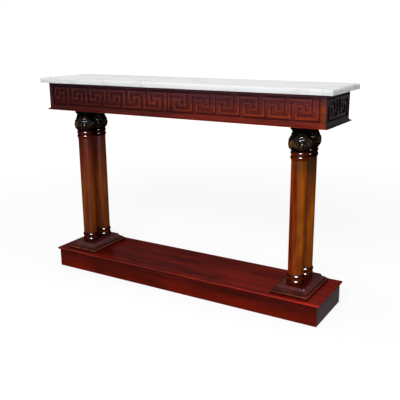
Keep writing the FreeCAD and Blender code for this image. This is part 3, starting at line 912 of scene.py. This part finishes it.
# Painted light: darker and bluer to the left, lighter and more orange to the right.
painted_light_drift(frieze_long, (0.62, 0.72, 1.0), (1.70, 1.45, 0.60))
painted_slab_shadow(frieze_long)
frieze_tree = frieze_long.node_tree
# Painted light and shadow on the plain right end of the front board: warmer and lighter below, darker and
# bluer at its head.
stile = between(frieze_tree, "X", *stile_reach)
stile_head = between(frieze_tree, "Z", *stile_shadow)
tinted(frieze_long, times(frieze_tree, stile, rest_of(frieze_tree, stile_head)), (1.20, 1.45, 0.40))
tinted(frieze_long, times(frieze_tree, stile, stile_head), (0.55, 0.85, 1.00))
# Painted shade and painted reflection: the end boards are the same mahogany, coloured darker and bluer as if
# in shade and mirroring a grey sky.
frieze_shaded_ends = polished_wood("frieze_mahogany_shaded_ends", (0.008, 0.0046, 0.0054), (0.040, 0.0140, 0.0150), "Y",
                             coat=0.11, coat_blur=0.12, fall=0.0, wear=0.5, dust_and_shade_reach=0.010,
                             shift=(0.9, 0.3, 0.4))
frieze_woods = {"front": frieze_long, "back": frieze_long, "left": frieze_shaded_ends, "right": frieze_shaded_ends}
for side, material in frieze_woods.items():
    eased_board("frieze_" + side, frieze_ease, material)
finish_nodes(frieze_long, "frieze_bottom")
finish_nodes(bare_cross, "column_rail_left", "column_rail_right",
             "top_bearer_left", "top_bearer_middle", "top_bearer_right")
finish_nodes(bare_upright, "frieze_corner_blocks")


# ---------------------------------------------------------------------------
# Moulding. A small hollow strip is mitred round the foot of the frieze and
# stands out over the capitals.
# ---------------------------------------------------------------------------
moulding_ease = 0.0004
for side, material in frieze_woods.items():
    eased_board("moulding_" + side, moulding_ease, material)


# ---------------------------------------------------------------------------
# Key bands. Flat strips of mahogany, fretsawn into a key that turns back on
# itself, are glued in the sunk fields. The front has two strips, the left one
# the other way up, and each end has one unit and its mirror image.
# ---------------------------------------------------------------------------
key_turns = ((0, 6), (6, 0), (0, -4), (-2, 0), (0, 2), (-2, 0), (0, -4), (6, 0))
key_columns = 8
key_rows = 6
band_width = 0.0098
key_ease = 0.0005
units_per_half = 6


def start_of(index, pitch):
    """Where a band starts on an even grid line, or the gap after it on an odd one."""
    return index * pitch - band_width / 2 if index % 2 == 0 else (index - 1) * pitch + band_width / 2


def key_unit(step, row_step, upside_down):
    """The cells of one key unit as flat faces on XZ, its first upright marked. Bands lie on
    even columns and rows, and the gaps between them on odd ones."""
    cells = set()
    here = (0, 0)
    for across, up in key_turns:
        there = (here[0] + across, here[1] + up)
        for column in range(min(here[0], there[0]), max(here[0], there[0]) + 1):
            for row in range(min(here[1], there[1]), max(here[1], there[1]) + 1):
                cells.add((column, row))
        here = there
    shape = bmesh.new()
    upright = shape.faces.layers.int.new("upright")
    for column, row in sorted(cells):
        if column == key_columns:
            continue
        level = key_rows - row if upside_down else row
        left, right = start_of(column, step), start_of(column + 1, step)
        foot, head = start_of(level, row_step), start_of(level + 1, row_step)
        corners = ((left, foot), (right, foot), (right, head), (left, head))
        face = shape.faces.new([shape.verts.new((x, 0.0, z)) for x, z in corners])
        face[upright] = 1 if column == 0 else 0
    mesh = bpy.data.meshes.new("key_unit")
    shape.to_mesh(mesh)
    shape.free()
    return mesh


def build_key_band():
    """Units in a row that end in an upright at the origin, extruded into one flat band."""
    tree, given, result = new_group("key_band", "GeometryNodeTree", (
        ("Unit", "Geometry"),
        ("Units", "Int", 6),
        ("Unit Length", "Float", 0.094),
        ("Mirrored", "Bool", False),
        ("Cut Below", "Float", -10.0),
        ("Thickness", "Float", 0.0044),
        ("Place", "Vector"),
        ("Turn", "Float", 0.0),
        ("Wood", "Material"),
    ), (("Band", "Geometry"),))

    def vector(parts):
        return new_node(tree, "ShaderNodeCombineXYZ", parts).outputs[0]

    def made(kind, inputs, output=0, **settings):
        return new_node(tree, "GeometryNode" + kind, inputs, **settings).outputs[output]

    def joined(*parts):
        whole = tree.nodes.new("GeometryNodeJoinGeometry")
        for part in parts:
            tree.links.new(part, whole.inputs[0])
        return whole.outputs[0]

    touching = 1e-5
    no_area = 1e-8
    length = given["Unit Length"]
    start = vector({"X": times(tree, given["Units"], length, -1.0)})
    line = {"Count": given["Units"], "Start Location": start, "Offset": vector({"X": length})}
    posts = made("MeshLine", line)
    row = made("InstanceOnPoints", {"Points": posts, "Instance": given["Unit"]})
    laid = made("RealizeInstances", {0: row})
    flipped = made("Transform", {"Geometry": laid, "Scale": (-1.0, 1.0, 1.0)})
    turned = made("FlipFaces", {0: flipped})
    wanted = made("Switch", {"Switch": given["Mirrored"], "True": turned}, input_type="GEOMETRY")
    mark = made("InputNamedAttribute", {"Name": "upright"}, "Attribute", data_type="INT")
    marked = {"Geometry": given["Unit"], "Selection": mark}
    closing = made("SeparateGeometry", marked, "Selection", domain="FACE")
    flat = joined(closing, wanted, laid)
    spread = new_node(tree, "ShaderNodeSeparateXYZ", {0: made("InputPosition", {})}).outputs
    kept_x = maths(tree, "MAXIMUM", spread["X"], given["Cut Below"])
    kept = vector({"X": kept_x, "Y": spread["Y"], "Z": spread["Z"]})
    trimmed = made("SetPosition", {"Geometry": flat, "Position": kept})
    waste = maths(tree, "LESS_THAN", made("InputMeshFaceArea", {}), no_area)
    clean = made("DeleteGeometry", {"Geometry": trimmed, "Selection": waste}, domain="FACE")
    glued = made("MergeByDistance", {"Geometry": clean, "Distance": touching})
    thick = {"Mesh": glued, "Offset Scale": given["Thickness"], "Individual": False}
    closed = joined(made("FlipFaces", {0: glued}), made("ExtrudeMesh", thick, "Mesh"))
    welded = made("MergeByDistance", {"Geometry": closed, "Distance": touching})
    stand = {"Geometry": welded, "Translation": given["Place"], "Rotation": vector({"Z": given["Turn"]})}
    realized = made("RealizeInstances", {0: made("Transform", stand)})
    feed(tree, result, {"Band": made("SetMaterial", {"Geometry": realized, "Material": given["Wood"]})})
    return tree


key_band_tree = build_key_band()


def lay_key_band(node, unit, wood, **sizes):
    """One strip of key band, its arrises eased, in place of a CAD node."""
    strip = bpy.data.objects.new(node + "_band", unit)
    scene.collection.objects.link(strip)
    pattern = strip.modifiers.new("key band", "NODES")
    pattern.node_group = key_band_tree
    values = {word.replace("_", " ").title(): value for word, value in sizes.items()}
    values["Wood"] = wood
    for item in key_band_tree.interface.items_tree:
        if item.in_out == "INPUT" and item.name in values:
            pattern[item.identifier] = values[item.name]
    ease_edges(strip, key_ease, segments=2, angle=40.0)
    strip.data.shade_smooth()
    stand_for(strip, node, wood)


fret_long = polished_wood("fret_mahogany_long", (0.046, 0.0062, 0.0044), (0.190, 0.0290, 0.0090), "X",
                          coat=0.14, coat_blur=0.25, wear=0.5, shift=(0.5, 0.2, 0.1))
# Painted light: darker and bluer to the left, lighter and more orange to the right.
painted_light_drift(fret_long, (0.56, 0.68, 1.0), (1.66, 1.40, 0.60))
painted_slab_shadow(fret_long)
polish_only(fret_long, turned_to(fret_long.node_tree, "Y", -0.95, -0.99))
# Painted shade and painted reflection: the end frets are the same mahogany, coloured darker and bluer as if
# in shade and mirroring a grey sky.
fret_shaded_ends = polished_wood("fret_mahogany_shaded_ends", (0.012, 0.0060, 0.0066), (0.052, 0.0180, 0.0180), "Y",
                           coat=0.11, coat_blur=0.25, fall=0.0, wear=0.5, shift=(0.1, 0.8, 0.3))
low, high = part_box("fret_front_right")
step = (high.x - low.x - band_width) / (key_columns * units_per_half)
row_step = (high.z - low.z - band_width) / key_rows
key_foot = low.z + band_width / 2
field_y = high.y
key_thickness = high.y - low.y
for half, upside_down in (("right", False), ("left", True)):
    node = "fret_front_" + half
    low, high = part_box(node)
    right_end = high.x - band_width / 2
    lay_key_band(node, key_unit(step, row_step, upside_down), fret_long, units=units_per_half,
                 unit_length=step * key_columns, thickness=key_thickness, cut_below=low.x - right_end,
                 place=(right_end, field_y, key_foot))
for side, sign in (("left", -1), ("right", 1)):
    node = "fret_" + side
    low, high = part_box(node)
    end_step = (high.y - low.y - band_width) / (2 * key_columns)
    field_x = high.x if sign < 0 else low.x
    lay_key_band(node, key_unit(end_step, row_step, False), fret_shaded_ends, units=1,
                 unit_length=end_step * key_columns, mirrored=True, thickness=key_thickness,
                 place=(field_x, 0.0, key_foot), turn=sign * quarter_turn)


# ---------------------------------------------------------------------------
# Marble top. One loose slab of white marble with faint grey veins, sawn square,
# rounded over along its upper edge and polished. It lies on the bearers by its
# own weight and lifts off.
# ---------------------------------------------------------------------------
slab_corner = 0.0030
slab_shoulder = 0.0100
slab_arris = 0.0020
quarter_sag = 1 - math.sqrt(0.5)
slab_thickness = thickness_of("marble_top")
slab_edge = [(slab_arris, 0.0)]
slab_edge += arc(slab_edge[-1], (0.0, slab_arris), quarter_sag * slab_arris, pieces=6)
slab_edge.append((0.0, slab_thickness - slab_shoulder))
slab_edge += arc(slab_edge[-1], (slab_shoulder, slab_thickness), quarter_sag * slab_shoulder, curve_pieces)
marble_slab = moulded_slab("marble_slab_top", "marble_top", slab_edge, slab_corner, steps=8)

white_marble, stone, stone_shader = new_finish("white_marble")
stone_place = own_place(stone)
drifting = {"Vector": stone_place, "Scale": 3.2, "Detail": 5.0}
drift = new_node(stone, "ShaderNodeTexNoise", drifting).outputs["Color"]
bent = new_node(stone, "ShaderNodeMix", {0: 0.24, 4: stone_place, 5: drift}, data_type="VECTOR").outputs[1]
vein_noise = stretched_noise(stone, bent, (2.4, 6.5, 6.5), 6.0, 0.7)
off_vein = maths(stone, "ABSOLUTE", maths(stone, "SUBTRACT", vein_noise, 0.5))
vein = rest_of(stone, sharpened(stone, off_vein, 0.0, 0.035))
cloud = sharpened(stone, stretched_noise(stone, bent, (3.0, 5.0, 5.0), 4.0), 0.30, 0.75)
pale = blend_colour(stone, "MIX", cloud, (0.83, 0.83, 0.82), (0.79, 0.79, 0.785))
pits = stretched_noise(stone, stone_place, (220.0, 220.0, 220.0), 3.0)
stone_bump = new_node(stone, "ShaderNodeBump", {"Height": pits, "Strength": 0.10, "Distance": 0.0003})
feed(stone, stone_shader, {
    "Base Color": blend_colour(stone, "MIX", times(stone, vein, 0.30), pale, (0.50, 0.52, 0.55)),
    "Roughness": maths(stone, "ADD", 0.22, times(stone, cloud, 0.08)),
    "Normal": stone_bump.outputs[0],
    "Specular IOR Level": 0.06,
})
stand_for(marble_slab, "marble_top", white_marble, body="marble_slab")
